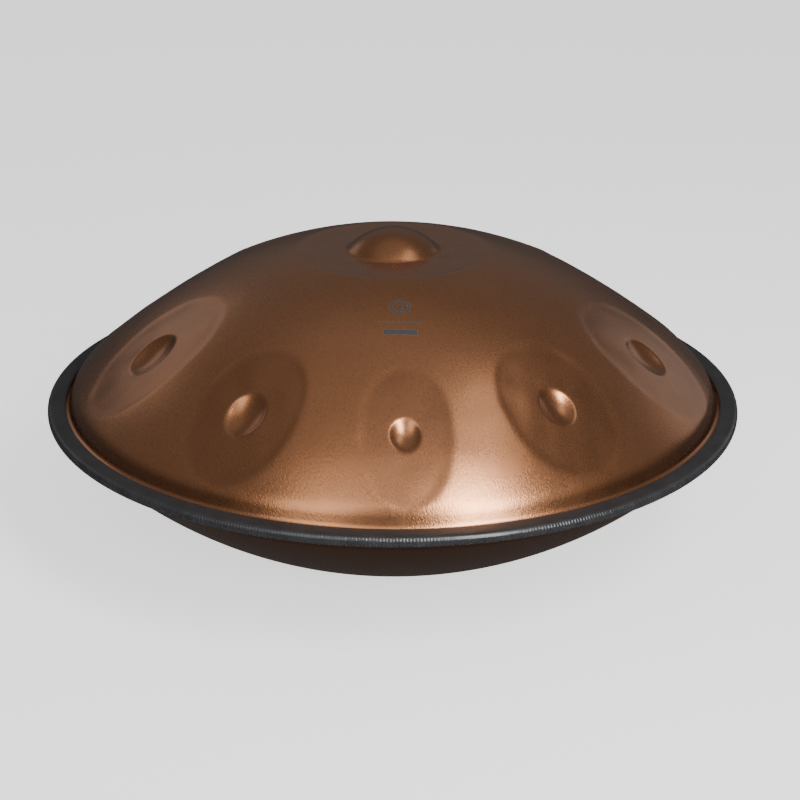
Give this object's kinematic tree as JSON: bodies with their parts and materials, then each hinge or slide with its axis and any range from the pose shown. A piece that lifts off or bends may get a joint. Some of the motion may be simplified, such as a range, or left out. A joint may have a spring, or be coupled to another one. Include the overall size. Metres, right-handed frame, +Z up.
{
  "type": "handpan",
  "caption": "Handpan: two glued domed steel shells with a raised centre note, sunk oval tone fields with dimples, a rolled port underneath and a rubber rim guard.",
  "frame": {"origin": "centre of the resting plane under the bottom shell, on the axis of the domes", "axes": "+Z up along the axis of both domes, -Y towards the front, where the smallest tone field is, +X to the player's right"},
  "size_m": [0.53, 0.53, 0.241],
  "materials": {
    "bronzed_steel": "satin, bronze-coloured heat-treated sheet with a fine hammered grain",
    "adhesive": "dark cured epoxy",
    "guard_rubber": "satin black extruded edging, finely textured"
  },
  "bodies": {
    "root": {"top_shell": "bronzed_steel", "bottom_shell": "bronzed_steel", "glue_bead": "adhesive", "rim_guard": "guard_rubber"}
  },
  "joints": []
}
